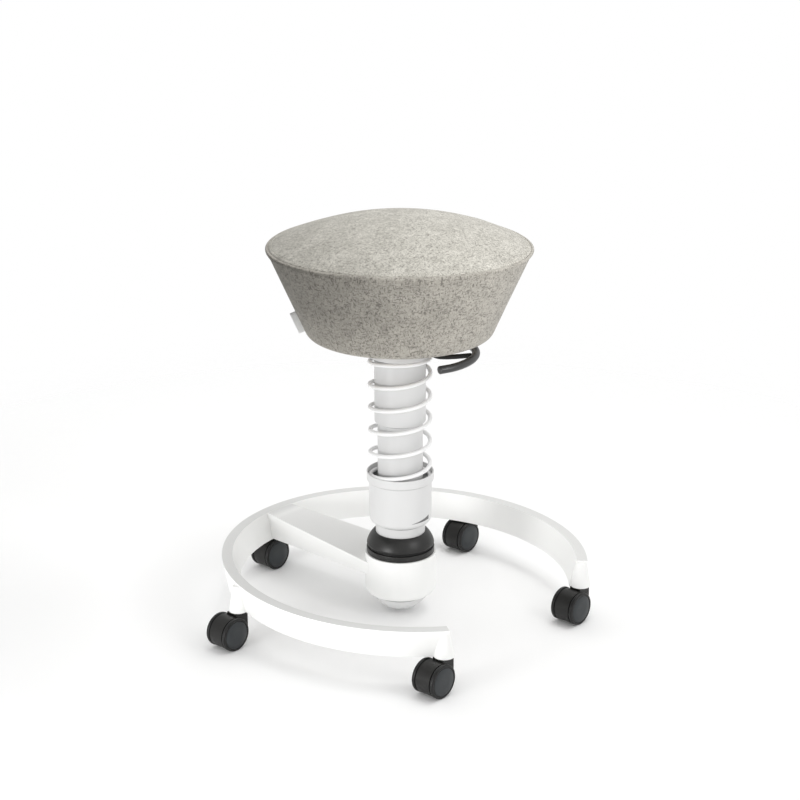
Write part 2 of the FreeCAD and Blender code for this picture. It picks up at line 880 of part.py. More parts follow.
def rubber_joint():
    """Steel core, rubber dome, steel ring and rubber lip, with the rubber bush in the hub below."""
    inner_top = S.dome_top - S.dome_wall
    neck_hole = S.neck_radius + S.seat_gap
    body = turned(
        "rubber_dome",
        [
            (S.dome_radius - S.dome_wall, S.dome_foot),
            (S.dome_radius, S.dome_foot),
            (neck_hole, S.dome_top, S.dome_bulge),
            (neck_hole, inner_top),
            (S.dome_radius - S.dome_wall, S.dome_foot + S.dome_wall),
        ],
    )
    node(body, "rubber_dome")
    shim_foot = S.dome_foot - S.shim_height
    node(tube("joint_ring", S.shim_radius, S.shim_bore, shim_foot, S.dome_foot), "joint_ring")
    body = turned(
        "rubber_lip",
        [
            (S.lip_bore, S.hub_top),
            (S.lip_radius, S.hub_top),
            (S.lip_radius, S.lip_top),
            (S.shim_radius, S.lip_top),
            (S.shim_radius, shim_foot),
            (S.lip_bore, shim_foot),
        ],
    )
    round_rims(body, [(S.lip_radius, S.lip_top)], S.slide_gap * 4)
    node(body, "rubber_lip")
    flange_foot = S.neck_foot - S.core_flange_height
    body = turned(
        "joint_core",
        [
            (ZERO, S.core_foot),
            (S.core_radius, S.core_foot),
            (S.core_radius, flange_foot),
            (S.core_flange_radius, flange_foot),
            (S.core_flange_radius, S.neck_foot),
            (ZERO, S.neck_foot),
        ],
    )
    node(body, "joint_core")
    bush = tube(
        "rubber_bush",
        S.hub_cavity_radius - S.seat_gap,
        S.core_radius + S.seat_gap,
        S.bush_foot,
        S.bush_top,
    )
    node(bush, "rubber_bush")


def stiffness_adjuster():
    """Ribbed dish-shaped knob with its screw, and the plate that it drives up against the rubber."""
    web_foot = S.hub_cavity_floor - S.hub_web
    knob_top = web_foot - S.seat_gap
    dish = turned(
        "knob_dish",
        [
            (ZERO, S.knob_foot),
            (S.knob_foot_radius, S.knob_foot),
            (S.knob_bend_radius, S.knob_bend_height, S.knob_bend_radius),
            (S.knob_radius, S.hub_foot),
            (S.knob_radius, knob_top),
            (S.screw_shaft_radius, knob_top),
            (S.screw_shaft_radius, S.screw_shaft_top),
            (ZERO, S.screw_shaft_top),
        ],
    )
    rib = new_body("knob_rib")
    sketch = new_sketch(rib, "knob_rib_outline", "XZ_Plane")
    outline(
        sketch,
        [
            (S.knob_foot_radius * 0.4, S.knob_foot - 1),
            (S.knob_foot_radius, S.knob_foot - 1),
            (S.knob_bend_radius + 1, S.knob_bend_height),
            (S.knob_foot_radius * 0.4, S.knob_bend_height),
        ],
    )
    pad = rib.newObject("PartDesign::Pad", "knob_rib_pad")
    pad.Profile = sketch
    pad.Midplane = True
    bind(pad, Length=S.knob_rib_width)
    doc.recompute()
    pattern = rib.newObject("PartDesign::PolarPattern", "knob_rib_pattern")
    pattern.Originals = [pad]
    axis = next(item for item in rib.Origin.OriginFeatures if item.Role == "Z_Axis")
    pattern.Axis = (axis, [""])
    pattern.Angle = 360
    bind(pattern, Occurrences=S.knob_rib_count)
    rib.Tip = pattern
    doc.recompute()
    node(joined("adjuster_knob", [dish, rib]), "adjuster_knob")
    plate = tube(
        "pressure_plate",
        S.plate_radius,
        S.screw_shaft_radius + S.running,
        S.plate_foot,
        S.plate_foot + S.plate_height,
    )
    node(plate, "pressure_plate")


def ellipse(name, half_long, half_wide, height):
    """An ellipse about the ring's centre, long along Y."""
    item = doc.addObject("Part::Ellipse", name)
    bind(item, MajorRadius=half_long, MinorRadius=half_wide)
    return place(item, y=-S.ring_centre_back, z=height, axis=(0, 0, 1), angle=Size(270, "270"))


def ruled_band(name, foot_long, foot_wide, top_long, top_wide, foot, top):
    item = doc.addObject("Part::Loft", name)
    item.Sections = [
        ellipse(name + "_foot", foot_long, foot_wide, foot),
        ellipse(name + "_top", top_long, top_wide, top),
    ]
    item.Solid = True
    item.Ruled = True
    return item


def castor_places():
    """Name and centre of each castor, from the back one round the ring."""
    names = ("back", "left", "front_left", "front_right", "right")
    places = []
    for number, name in enumerate(names):
        angle = Size(90, "90") + 360 * number / S.castor_count
        if name == "left":
            angle = angle - S.left_castor_shift
        x = (S.ring_wide + S.castor_outset) * cosine(angle)
        y = (RING_LONG - S.castor_inset) * sine(angle) - S.ring_centre_back
        places.append((name, x, y))
    return places


def foot_ring():
    """Cast foot: an open ring with leaning walls, castor bosses, a wedge-shaped arm and the hub."""
    foot_long = RING_LONG - S.ring_lean
    foot_wide = S.ring_wide - S.ring_lean
    outer = ruled_band("band_outside", foot_long, foot_wide, RING_LONG, S.ring_wide, S.ring_foot, S.ring_top)
    inner = ruled_band(
        "band_inside",
        foot_long - S.ring_wall_foot,
        foot_wide - S.ring_wall_foot,
        RING_LONG - S.ring_wall_top,
        S.ring_wide - S.ring_wall_top,
        S.ring_foot,
        S.ring_top,
    )
    gap = doc.addObject("Part::Wedge", "ring_gap")
    reach = RING_LONG * 1.2
    spread = reach * sine(S.ring_gap_half_angle) / cosine(S.ring_gap_half_angle)
    bind(
        gap,
        Xmin=ZERO - 0.01, Xmax=Size(0.01, "0.01"), X2min=-spread, X2max=spread,
        Ymin=ZERO, Ymax=reach,
        Zmin=S.ring_foot - 5, Zmax=S.ring_top + 5, Z2min=S.ring_foot - 5, Z2max=S.ring_top + 5,
    )
    place(gap, y=-S.ring_centre_back, axis=(0, 0, 1), angle=Size(180, "180"))
    open_ring = cut("open_ring", cut("closed_ring", outer, inner), gap)
    doc.recompute()
    bosses = []
    bores = []
    for name, x, y in castor_places():
        radii = (S.boss_radius, S.boss_top_radius)
        if name.startswith("front"):
            radii = (S.end_boss_radius, S.end_boss_top_radius)
        bosses.append(cone(name + "_boss", *radii, S.boss_height, x, y, S.ring_foot))
        bores.append(cylinder(name + "_bore", S.stem_radius + S.running, S.stem_height + S.seat_gap, x, y,
                              S.ring_foot))
    arm = doc.addObject("Part::Wedge", "arm")
    bind(
        arm,
        Xmin=-S.arm_hub_half, Xmax=S.arm_hub_half, X2min=-S.arm_ring_half, X2max=S.arm_ring_half,
        Ymin=S.arm_start, Ymax=RING_LONG - S.ring_centre_back - S.ring_wall_top * 0.8,
        Zmin=S.arm_hub_foot, Zmax=S.arm_hub_top,
        Z2min=S.ring_foot + S.arm_sink, Z2max=S.ring_top - S.arm_sink,
    )
    hub = turned(
        "hub",
        [
            (ZERO, S.hub_foot),
            (S.hub_radius - S.hub_corner, S.hub_foot),
            (S.hub_radius, S.hub_foot + S.hub_corner, S.hub_corner),
            (S.hub_top_radius, S.hub_top),
            (ZERO, S.hub_top),
        ],
    )
    casting = joined("casting", [open_ring, arm, hub] + bosses)
    cavity = cylinder("hub_cavity", S.hub_cavity_radius, S.hub_top - S.hub_cavity_floor, z=S.hub_cavity_floor)
    web_foot = S.hub_cavity_floor - S.hub_web
    skirt = cylinder("hub_skirt", S.hub_skirt_radius, web_foot - S.hub_foot, z=S.hub_foot)
    screw_bore = cylinder("hub_screw_bore", S.screw_shaft_radius + S.running, S.hub_web, z=web_foot)
    holes = joined("casting_holes", bores + [cavity, skirt, screw_bore])
    node(cut("foot_ring", casting, holes), "foot_ring")


def castor(name, x, y):
    """One twin-wheel castor: stem pin, hood, axle and two wheels, trailing towards -X."""
    stem_foot = S.ring_foot - S.top_gap * 0.5
    body = turned(
        name + "_stem",
        [
            (ZERO, S.stem_pivot_foot),
            (S.stem_pivot_radius, S.stem_pivot_foot),
            (S.stem_pivot_radius, stem_foot),
            (S.stem_radius, stem_foot),
            (S.stem_radius, S.ring_foot + S.stem_height),
            (ZERO, S.ring_foot + S.stem_height),
        ],
    )
    place(body, x, y)
    node(body, name + "_castor_stem")

    axle_x = x - S.castor_trail
    hood_top = S.ring_foot - S.top_gap
    inner = S.hood_radius - S.hood_wall
    drum = turned(
        name + "_drum",
        [
            (ZERO, -S.hood_web_half),
            (inner, -S.hood_web_half),
            (inner, -S.hood_half_width),
            (S.hood_radius, -S.hood_half_width),
            (S.hood_radius, S.hood_half_width),
            (inner, S.hood_half_width),
            (inner, S.hood_web_half),
            (ZERO, S.hood_web_half),
        ],
    )
    place(drum, axle_x, y, S.wheel_radius, axis=(1, 0, 0), angle=Size(90, "90"))
    neck = block(
        name + "_neck",
        (x - S.hood_neck_back, y - S.hood_neck_half, S.wheel_radius),
        (x + S.hood_lead, y + S.hood_neck_half, hood_top),
    )
    wells = []
    for side, sign in (("left", 1), ("right", -1)):
        well = cylinder(f"{name}_{side}_well", inner, S.hood_half_width - S.hood_web_half)
        edge = S.hood_web_half if sign > 0 else S.hood_half_width
        start = y + S.hood_half_width if sign > 0 else y - S.hood_web_half
        place(well, axle_x, start, S.wheel_radius, axis=(1, 0, 0), angle=Size(90, "90"))
        wells.append(well)
    shell = joined(name + "_shell", [drum, cut(name + "_neck_clear", neck, joined(name + "_wells", wells))])
    floor_cut = block(
        name + "_floor_cut",
        (axle_x - S.hood_radius * 1.2, y - S.hood_half_width * 1.2, ZERO),
        (axle_x + S.hood_radius * 1.2, y + S.hood_half_width * 1.2, S.hood_lower_edge),
    )
    stem_bore = cylinder(
        name + "_stem_bore",
        S.stem_pivot_radius + S.running,
        hood_top - S.stem_pivot_foot + S.seat_gap,
        x,
        y,
        S.stem_pivot_foot - S.seat_gap,
    )
    axle_bore = cylinder(name + "_axle_bore", S.axle_radius + S.running, S.hood_web_half * 2)
    place(axle_bore, axle_x, y + S.hood_web_half, S.wheel_radius, axis=(1, 0, 0), angle=Size(90, "90"))
    hood = cut(name + "_hood", shell, joined(name + "_hood_cuts", [floor_cut, stem_bore, axle_bore]))
    node(hood, name + "_castor_hood")

    axle = cylinder(name + "_axle", S.axle_radius, S.axle_half * 2)
    place(axle, axle_x, y + S.axle_half, S.wheel_radius, axis=(1, 0, 0), angle=Size(90, "90"))
    node(axle, name + "_castor_axle")

    for side, sign in (("left", -1), ("right", 1)):
        bore = S.axle_radius + S.running
        bore_end = S.axle_half + S.seat_gap
        face = S.wheel_face + S.wheel_plate_rise
        body = turned(
            f"{name}_{side}_wheel",
            [
                (bore, S.wheel_inner),
                (S.wheel_tread_radius, S.wheel_inner),
                (S.wheel_tread_radius, S.wheel_step),
                (S.wheel_radius, S.wheel_step),
                (S.wheel_radius, S.wheel_face),
                (S.wheel_plate_radius, S.wheel_face),
                (S.wheel_plate_radius, face),
                (ZERO, face),
                (ZERO, bore_end),
                (bore, bore_end),
            ],
        )
        round_rims(body, [(S.wheel_radius, S.wheel_face)], S.wheel_round)
        place(body, axle_x, y, S.wheel_radius, axis=(1, 0, 0), angle=Size(90.0 * sign, str(90 * sign)))
        node(body, f"{name}_castor_{side}_wheel")


def check_document():
    """Stops the build where an object failed or a sub-part's shape is missing or broken."""
    doc.recompute()
    for item in doc.Objects:
        if "Invalid" in item.State or "Error" in item.State:
            raise RuntimeError(f"{item.Name} failed: {item.State}")
    for item in NODES:
        if item.Shape.isNull() or not item.Shape.isValid():
            raise RuntimeError(f"{item.Label} has no valid shape")


seat_cushion()
seat_board()
seat_bracket()
bracket_screws()
lever()
gas_lift()
strut()
column()
spring_cup()
coil_spring()
rubber_joint()
stiffness_adjuster()
foot_ring()
for castor_name, castor_x, castor_y in castor_places():
    castor(castor_name, castor_x, castor_y)

check_document()
os.makedirs("parts", exist_ok=True)
for item in NODES:
    item.Shape.exportStep(f"parts/{item.Label}.step")
    volume = item.Shape.Volume / 1000
    print(f"{item.Label:28s} solids {len(item.Shape.Solids)} volume {volume:9.2f} cm3")
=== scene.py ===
"""Looks of the wobble stool: felt cushion, white frame, coil spring, rubber joint and castors."""

import json
import math

import bpy
import numpy as np
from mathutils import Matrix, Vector


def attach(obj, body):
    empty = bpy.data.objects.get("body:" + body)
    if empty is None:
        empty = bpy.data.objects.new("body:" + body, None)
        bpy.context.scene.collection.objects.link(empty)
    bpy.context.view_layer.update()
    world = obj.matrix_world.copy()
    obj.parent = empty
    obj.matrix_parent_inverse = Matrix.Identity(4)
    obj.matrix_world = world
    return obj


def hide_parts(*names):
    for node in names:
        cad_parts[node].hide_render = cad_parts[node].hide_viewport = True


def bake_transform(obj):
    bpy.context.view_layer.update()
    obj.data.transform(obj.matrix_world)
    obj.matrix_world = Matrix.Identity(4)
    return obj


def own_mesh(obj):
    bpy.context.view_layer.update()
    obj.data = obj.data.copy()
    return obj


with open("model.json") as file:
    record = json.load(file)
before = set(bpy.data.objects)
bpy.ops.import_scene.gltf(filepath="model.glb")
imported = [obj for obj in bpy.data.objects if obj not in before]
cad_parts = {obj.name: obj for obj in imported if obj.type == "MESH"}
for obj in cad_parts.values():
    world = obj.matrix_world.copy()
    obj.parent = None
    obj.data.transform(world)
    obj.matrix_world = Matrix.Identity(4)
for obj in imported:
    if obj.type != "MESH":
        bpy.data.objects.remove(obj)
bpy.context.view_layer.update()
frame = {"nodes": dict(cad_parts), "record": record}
NODES = frame["nodes"]
scene = bpy.context.scene

# Directions round the column: towards the camera, and towards the camera's left
FRONT_ANGLE = math.radians(-138.0)
LEFT_ANGLE = math.radians(132.0)


# Shader graphs


class Value:
    """An output of a shader graph that takes part in sums."""

    def __init__(self, graph, socket):
        self.graph = graph
        self.socket = socket

    def __add__(self, other):
        return self.graph.maths("ADD", self, other)

    def __sub__(self, other):
        return self.graph.maths("SUBTRACT", self, other)

    def __rsub__(self, other):
        return self.graph.maths("SUBTRACT", other, self)

    def __mul__(self, other):
        return self.graph.maths("MULTIPLY", self, other)

    def __truediv__(self, other):
        return self.graph.maths("DIVIDE", self, other)

    __radd__ = __add__
    __rmul__ = __mul__


class Graph:
    """A material made of one principled shader and the graph that feeds it."""

    def __init__(self, name):
        self.material = bpy.data.materials.new(name)
        self.material.use_nodes = True
        self.tree = self.material.node_tree
        self.shader = self.tree.nodes["Principled BSDF"]
        self.place = Value(self, self.add("ShaderNodeTexCoord").outputs["Object"])

    def add(self, kind, **settings):
        item = self.tree.nodes.new(kind)
        for key, value in settings.items():
            setattr(item, key, value)
        return item

    def feed(self, socket, value):
        """Links a value to a socket or sets it there. A colour of three numbers is made opaque."""
        if isinstance(value, Value):
            self.tree.links.new(value.socket, socket)
        elif isinstance(value, tuple) and len(socket.default_value) == 4:
            socket.default_value = (*value, 1.0)
        else:
            socket.default_value = value

    def maths(self, operation, *values):
        item = self.add("ShaderNodeMath", operation=operation)
        for socket, value in zip(item.inputs, values):
            self.feed(socket, value)
        return Value(self, item.outputs[0])

    def stretched(self, scale):
        """The place on the piece with each axis scaled, for a pattern that is finer one way."""
        item = self.add("ShaderNodeMapping")
        self.feed(item.inputs["Vector"], self.place)
        self.feed(item.inputs["Scale"], scale)
        return Value(self, item.outputs[0])

    def noise(self, scale, detail=2.0, roughness=0.5, vector=None, distortion=0.0):
        item = self.add("ShaderNodeTexNoise")
        settings = {"Scale": scale, "Detail": detail, "Roughness": roughness, "Distortion": distortion}
        self.feed(item.inputs["Vector"], vector or self.place)
        for key, value in settings.items():
            self.feed(item.inputs[key], value)
        return Value(self, item.outputs["Fac"])

    def between(self, value, low_end, high_end, low_value=0.0, high_value=1.0, smooth=True):
        """Turns a range of a value into another range, and holds it at the ends."""
        item = self.add("ShaderNodeMapRange", interpolation_type="SMOOTHSTEP" if smooth else "LINEAR")
        for socket, number in zip(item.inputs, (value, low_end, high_end, low_value, high_value)):
            self.feed(socket, number)
        return Value(self, item.outputs[0])

    def mix(self, factor, first, second):
        """Mixes two colours. The node keeps the sockets of its other kinds between those of colours."""
        item = self.add("ShaderNodeMix", data_type="RGBA")
        self.feed(item.inputs[0], factor)
        self.feed(item.inputs[6], first)
        self.feed(item.inputs[7], second)
        return Value(self, item.outputs[2])

    def axes(self, value):
        """The X, Y and Z of a place or a direction."""
        parts = self.add("ShaderNodeSeparateXYZ")
        self.feed(parts.inputs[0], value)
        return [Value(self, output) for output in parts.outputs]

    def facing(self):
        """The surface's own direction."""
        return Value(self, self.add("ShaderNodeNewGeometry").outputs["Normal"])

    def bump(self, height, distance, strength=1.0):
        item = self.add("ShaderNodeBump")
        self.feed(item.inputs["Height"], height)
        self.feed(item.inputs["Distance"], distance)
        self.feed(item.inputs["Strength"], strength)
        self.feed(self.shader.inputs["Normal"], Value(self, item.outputs[0]))

    def set(self, **values):
        for key, value in values.items():
            self.feed(self.shader.inputs[key.replace("_", " ")], value)


# Finishes


def coating(name, color, roughness, grain=2500.0, depth=0.00001, wear=0.04, painted_shade=None, **values):
    """Paint, plastic or rubber: one colour with faint cloudiness and a fine grain.

    Where shade is painted into a finish, the function given for it takes the graph and gives the share of the
    colour that stays.
    """
    graph = Graph(name)
    cloud = graph.noise(14.0, 3.0)
    shade = graph.between(cloud, 0.3, 0.7, 1.0 - wear, 1.0, smooth=False)
    # Painted shade, where given, darkens the cloudy colour further.
    if painted_shade:
        shade = shade * painted_shade(graph)
    tint = graph.add("ShaderNodeCombineColor")
    for socket, channel in zip(tint.inputs, color):
        graph.feed(socket, shade * channel)
    smudge = graph.noise(60.0, 4.0, 0.6)
    graph.set(
        Base_Color=Value(graph, tint.outputs[0]),
        Roughness=graph.between(smudge, 0.3, 0.7, roughness * 0.9, roughness * 1.12, smooth=False),
        **values,
    )
    graph.bump(graph.noise(grain, 2.0), depth)
    return graph.material


# Painted shade: the ring's top is painted darker than its sides, the arm's top less so, standing in for shade
# on the up-facing tops. The arm ends where the ring's wall begins.
RING_TOP_PAINTED_SHADE = 0.22
ARM_TOP_PAINTED_SHADE = 0.088
ARM_END = 0.235
RING_WALL = 0.25
RING_TOP = (0.0936, 0.0946)


def painted_shade_on_tops(graph):
    """Painted shade on the foot ring: its own top and the arm's top are painted darker, losing some of their
    white.
    """
    x, y, z = graph.axes(graph.place)
    reach = graph.maths("SQRT", x * x + y * y)
    on_arm = graph.between(reach, ARM_END, RING_WALL, 1.0, 0.0)
    on_ring = graph.between(z, *RING_TOP) * (1.0 - on_arm)
    looks_up = graph.between(graph.axes(graph.facing())[2], 0.55, 0.95)
    return 1.0 - looks_up * (on_arm * ARM_TOP_PAINTED_SHADE + on_ring * RING_TOP_PAINTED_SHADE)


def painted_shade_lines(*lines):
    """Painted shade: fine dark lines painted round the column where shade falls between pieces. Each has a
    foot, a top and the share of white left.
    """
    blur = 0.0004

    def painted_shade(graph):
        height = graph.axes(graph.place)[2]
        left = 1.0
        for foot, top, share in lines:
            above_foot = graph.between(height, foot - blur, foot)
            under_top = graph.between(height, top, top + blur, 1.0, 0.0)
            left = left * (1.0 - above_foot * under_top * (1.0 - share))
        return left

    return painted_shade


# Painted shade: dark lines painted where two white pieces meet, standing in for the shade in their joints
PAINTED_SHADE_UNDER_CUP = (0.1462, 0.1478, 0.45)
PAINTED_SHADE_UNDER_TUBE = (0.3090, 0.3103, 0.60)
PAINTED_SHADE_OVER_KNOB = (0.0272, 0.0305, 0.35)
PAINTED_SHADE_AT_CUP_RIM = (0.2146, 0.2160, 0.78)


def metal(name, color, roughness):
    """Bare or plated metal with fine drawn lines."""
    graph = Graph(name)
    lines = graph.noise(1.0, 3.0, 0.6, vector=graph.stretched((40.0, 40.0, 900.0)))
    graph.set(
        Base_Color=color,
        Metallic=1.0,
        Roughness=graph.between(lines, 0.3, 0.7, roughness * 0.8, roughness * 1.2, smooth=False),
    )
    graph.bump(lines, 0.00002)
    return graph.material


# The cushion's seam: its middle height, how far it swells up in front and behind, and its lean to the left
SEAM_HEIGHT = 0.5836
SEAM_SWELL = 0.0022
SEAM_LEAN = 0.0015

# Felt colours of light, deep and dark fibres: painted shade on the cushion's side, painted light on its top
PALE_WOOL_SHADED_AND_LIT = ((0.520, 0.492, 0.438), (0.660, 0.638, 0.578))
DEEP_WOOL_SHADED_AND_LIT = ((0.300, 0.282, 0.248), (0.390, 0.374, 0.330))
DARK_WOOL_SHADED_AND_LIT = ((0.130, 0.121, 0.105), (0.175, 0.166, 0.145))


def on_top_panel_painted_lit(graph):
    """Says where the felt is the top panel's, painted lighter; its edge follows the seam round the cushion.
    """
    rim = 0.19
    x, y, z = graph.axes(graph.place)
    ahead = (x * math.cos(FRONT_ANGLE) + y * math.sin(FRONT_ANGLE)) / rim
    beside = (x * math.cos(LEFT_ANGLE) + y * math.sin(LEFT_ANGLE)) / rim
    swell = (ahead * ahead - beside * beside) * SEAM_SWELL
    level = z - swell - beside * SEAM_LEAN
    return graph.between(level, SEAM_HEIGHT - 0.0006, SEAM_HEIGHT + 0.0002)


def felt():
    """Pale mottled wool felt: cloudy patches, matted fibres, many short darker hairs, and a top painted
    lighter than the side.
    """
    graph = Graph("felt")

    def strands(scale, detail, distortion, low_end, high_end):
        """Short hairs that run along the axis with the smallest scale."""
        field = graph.noise(1.0, detail, 0.6, vector=graph.stretched(scale), distortion=distortion)
        return graph.between(field, low_end, high_end)

    patches = graph.noise(30.0, 3.0, 0.6, distortion=0.5)
    matted = graph.noise(300.0, 3.0, 0.65, distortion=1.0)
    upright = strands((430.0, 430.0, 120.0), 3.0, 0.6, 0.52, 0.64)
    level = strands((150.0, 150.0, 520.0), 2.0, 0.8, 0.55, 0.66)
    along = strands((480.0, 170.0, 300.0), 2.0, 1.4, 0.53, 0.65)
    across = strands((170.0, 480.0, 300.0), 2.0, 1.4, 0.53, 0.65)
    on_top = on_top_panel_painted_lit(graph)
    side_hairs = graph.maths("MAXIMUM", upright, level)
    top_hairs = graph.maths("MAXIMUM", along, across)
    hairs = top_hairs * on_top + side_hairs * (1.0 - on_top)
    tone = graph.between(patches * 0.35 + matted * 0.65, 0.34, 0.64, smooth=False)
    # Painted light and shade: each fibre colour mixes its darker side copy and its lighter top copy.
    pale, deep, dark = (graph.mix(on_top, *pair) for pair in (PALE_WOOL_SHADED_AND_LIT, DEEP_WOOL_SHADED_AND_LIT, DARK_WOOL_SHADED_AND_LIT))
    graph.set(
        Base_Color=graph.mix(hairs * 0.78, graph.mix(tone, deep, pale), dark),
        Roughness=0.95,
        Sheen_Weight=0.15,
        Sheen_Roughness=0.6,
        Specular_IOR_Level=0.2,
    )
    graph.bump(matted * 0.6 + hairs * -0.4, 0.00035, 0.7)
    return graph.material


MATERIALS = {
    "felt": felt(),
    "thread": coating("thread", (0.68, 0.66, 0.60), 0.8, grain=4000.0),
    "tag": coating("tag", (0.88, 0.88, 0.87), 0.7, grain=5000.0, depth=0.00002),
    "plywood": coating("plywood", (0.50, 0.36, 0.22), 0.55, wear=0.25),
    "black_steel": coating("black_steel", (0.008, 0.008, 0.008), 0.5, Specular_IOR_Level=0.25),
    "zinc_steel": metal("zinc_steel", (0.62, 0.63, 0.64), 0.32),
    "chromed_steel": metal("chromed_steel", (0.80, 0.80, 0.81), 0.12),
    "bare_steel": metal("bare_steel", (0.50, 0.50, 0.51), 0.38),
    # White steel: painted shade lines under the cup and under the upper tube
    "white_steel": coating(
        "white_steel",
        (0.67, 0.67, 0.668),
        0.36,
        wear=0.02,
        painted_shade=painted_shade_lines(PAINTED_SHADE_UNDER_CUP, PAINTED_SHADE_UNDER_TUBE),
    ),
    "white_spring": coating("white_spring", (0.92, 0.92, 0.92), 0.34, wear=0.02),
    # The casting's up-facing tops are painted darker: painted shade.
    "white_casting": coating("white_casting", (0.93, 0.932, 0.92), 0.42, wear=0.02, painted_shade=painted_shade_on_tops),
    # White plastic: painted shade lines over the knob and at the cup's rim
    "white_plastic": coating(
        "white_plastic",
        (0.72, 0.72, 0.718),
        0.40,
        wear=0.02,
        painted_shade=painted_shade_lines(PAINTED_SHADE_OVER_KNOB, PAINTED_SHADE_AT_CUP_RIM),
    ),
    "grey_print": coating("grey_print", (0.16, 0.16, 0.16), 0.5),
    "dark_plastic": coating("dark_plastic", (0.05, 0.05, 0.052), 0.5),
    "black_plastic": coating(
        "black_plastic", (0.008, 0.0077, 0.0070), 0.42, grain=1800.0, depth=0.00003, Specular_IOR_Level=0.35
    ),
    "wheel_plastic": coating(
        "wheel_plastic", (0.006, 0.006, 0.006), 0.40, grain=1800.0, depth=0.00003, Specular_IOR_Level=0.35
    ),
    "wheel_plate": coating("wheel_plate", (0.020, 0.024, 0.027), 0.45, grain=1800.0, depth=0.00002),
    # Painted light: the grip's plastic is a lighter copy of the black plastic, standing in for the light
    # along its body.
    "lever_plastic": coating("lever_plastic", (0.034, 0.034, 0.034), 0.38, Specular_IOR_Level=0.6),
    "black_rubber": coating(
        "black_rubber", (0.010, 0.0098, 0.0092), 0.40, grain=1500.0, depth=0.00002, Specular_IOR_Level=0.50
    ),
}


# Meshes


def added(name, data):
    """An object in the scene made of a mesh, a lamp or a camera."""
    item = bpy.data.objects.new(name, data)
    scene.collection.objects.link(item)
    return item


def mesh_object(name, vertices, faces, material):
    mesh = bpy.data.meshes.new(name)
    mesh.from_pydata([tuple(v) for v in vertices], [], faces)
    mesh.polygons.foreach_set("use_smooth", [True] * len(mesh.polygons))
    mesh.materials.append(MATERIALS[material])
    mesh.update()
    return added(name, mesh)


def grid_faces(rows, columns, wrap_columns=True, wrap_rows=False):
    """Quads between neighbouring points of a grid stored row by row."""
    faces = []
    for row in range(rows if wrap_rows else rows - 1):
        here = row * columns
        after = (row + 1) % rows * columns
        for column in range(columns if wrap_columns else columns - 1):
            beside = (column + 1) % columns
            faces.append((here + column, here + beside, after + beside, after + column))
    return faces


def lathe(name, profile, material, segments, closed=True, shift=None):
    """A piece turned about Z. The profile lists (radius, height) in metres, upwards on its outer side.

    Where the piece isn't quite round, shift takes radii, heights and angles and gives new radii and heights.
    """
    profile = np.array(profile, float)
    angles = np.linspace(0, 2 * math.pi, segments, endpoint=False)
    radius = profile[:, 0][:, None] + np.zeros((1, segments))
    height = profile[:, 1][:, None] + np.zeros((1, segments))
    if shift:
        radius, height = shift(radius, height, angles[None, :])
    points = np.stack([radius * np.cos(angles), radius * np.sin(angles), height], axis=-1)
    faces = grid_faces(len(profile), segments, wrap_rows=closed)
    return mesh_object(name, points.reshape(-1, 3), faces, material)


def rounded(corners, radius, steps=5, closed=True):
    """A profile with each corner rounded. A corner may carry its own radius as a third number."""
    result = []
    total = len(corners)
    for index, corner in enumerate(corners):
        here = Vector(corner[:2])
        size = corner[2] if len(corner) > 2 else radius
        if not closed and index in (0, total - 1) or size == 0:
            result.append(tuple(here))
            continue
        back = (Vector(corners[index - 1][:2]) - here).normalized()
        forth = (Vector(corners[(index + 1) % total][:2]) - here).normalized()
        reach = size / math.tan(math.acos(back.dot(forth)) / 2)
        first = here + back * reach
        last = here + forth * reach
        for step in range(steps + 1):
            t = step / steps
            result.append(tuple(first.lerp(here, t).lerp(here.lerp(last, t), t)))
    return result


def curve(corners, steps):
    """A smooth curve from the first corner to the last, drawn towards the others, without its first point."""
    result = []
    for t in np.linspace(0, 1, steps + 1)[1:]:
        line = [Vector(corner) for corner in corners]
        while len(line) > 1:
            line = [first.lerp(second, t) for first, second in zip(line, line[1:])]
        result.append(tuple(line[0]))
    return result


# A rod's end is rounded off by rings that stand out from it and shrink, both as shares of its radius
ROD_END = ((0.22, 0.55), (0.18, 0.80), (0.06, 0.94))


def rod(name, points, radius, material, segments):
    """A round rod along a line of points that doesn't start upright, with rounded-off ends."""
    points = np.array(points, float)
    tangents = np.gradient(points, axis=0)
    tangents /= np.linalg.norm(tangents, axis=1)[:, None]
    angles = np.linspace(0, 2 * math.pi, segments, endpoint=False)
    side = np.cross(tangents[0], (0.0, 0.0, 1.0))
    circles = []
    for tangent in tangents:
        side = side - tangent * side.dot(tangent)
        side /= np.linalg.norm(side)
        circle = np.cos(angles)[:, None] * side + np.sin(angles)[:, None] * np.cross(tangent, side)
        circles.append(circle * radius)
    rings = [points[0] - tangents[0] * radius * out + circles[0] * share for out, share in ROD_END]
    rings += [point + circle for point, circle in zip(points, circles)]
    rings += [points[-1] + tangents[-1] * radius * out + circles[-1] * share for out, share in ROD_END[::-1]]
    last_ring = (len(rings) - 1) * segments
    faces = grid_faces(len(rings), segments)
    faces.append(tuple(range(segments))[::-1])
    faces.append(tuple(range(last_ring, last_ring + segments)))
    return mesh_object(name, np.concatenate(rings), faces, material)


def settle(item, body, slot, *replaced):
    """Fixes a piece to a body and hides the plain nodes it stands for. Its finish slot is not used.

    A piece given no body is left unattached.
    """
    if body:
        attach(item, body)
    if replaced:
        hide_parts(*replaced)


# Plain nodes: finishes and softened edges

SLOTS = {entry["node"]: entry["material_slot"] for entry in frame["record"]["subparts"]}
for node_name, node in NODES.items():
    node.data.materials.clear()
    node.data.materials.append(MATERIALS[SLOTS[node_name]])

